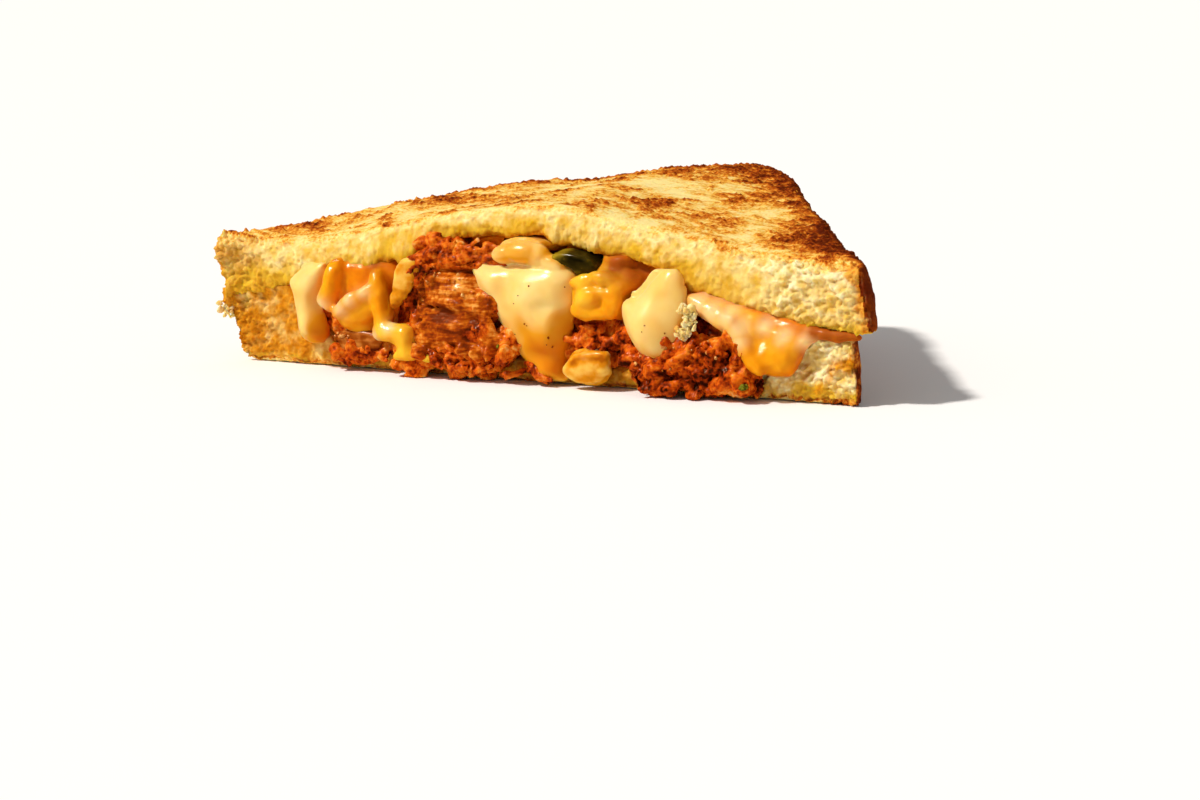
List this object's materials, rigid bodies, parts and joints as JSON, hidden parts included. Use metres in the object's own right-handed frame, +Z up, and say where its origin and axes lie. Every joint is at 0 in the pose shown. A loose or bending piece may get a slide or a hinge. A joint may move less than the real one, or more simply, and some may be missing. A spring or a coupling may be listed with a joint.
{
  "type": "toasted sandwich half",
  "caption": "Half of a toasted sandwich cut corner to corner, with pulled meat, melted cheese, creamy sauce, onion and green pepper between thick slices.",
  "frame": {"origin": "centre of the bounding box at the height of the toasted base", "axes": "+X along the cut, +Y from the cut towards the loaf's corner, +Z up"},
  "size_m": [0.1584, 0.0844, 0.0388],
  "materials": {
    "toasted_bread": "buttered and toasted, dry and granular",
    "pulled_meat": "moist, fibrous",
    "melted_cheese": "glossy, melted",
    "creamy_sauce": "glossy, thick",
    "green_pepper": "glossy skin",
    "pale_onion": "glossy, cooked"
  },
  "bodies": {
    "root": {"bread_top": "toasted_bread", "bread_bottom": "toasted_bread", "pulled_meat": "pulled_meat", "melted_cheese": "melted_cheese", "sauce_left": "creamy_sauce", "sauce_centre": "creamy_sauce", "sauce_right": "creamy_sauce", "green_pepper": "green_pepper", "onion_piece": "pale_onion", "onion_strip": "pale_onion"}
  },
  "joints": []
}
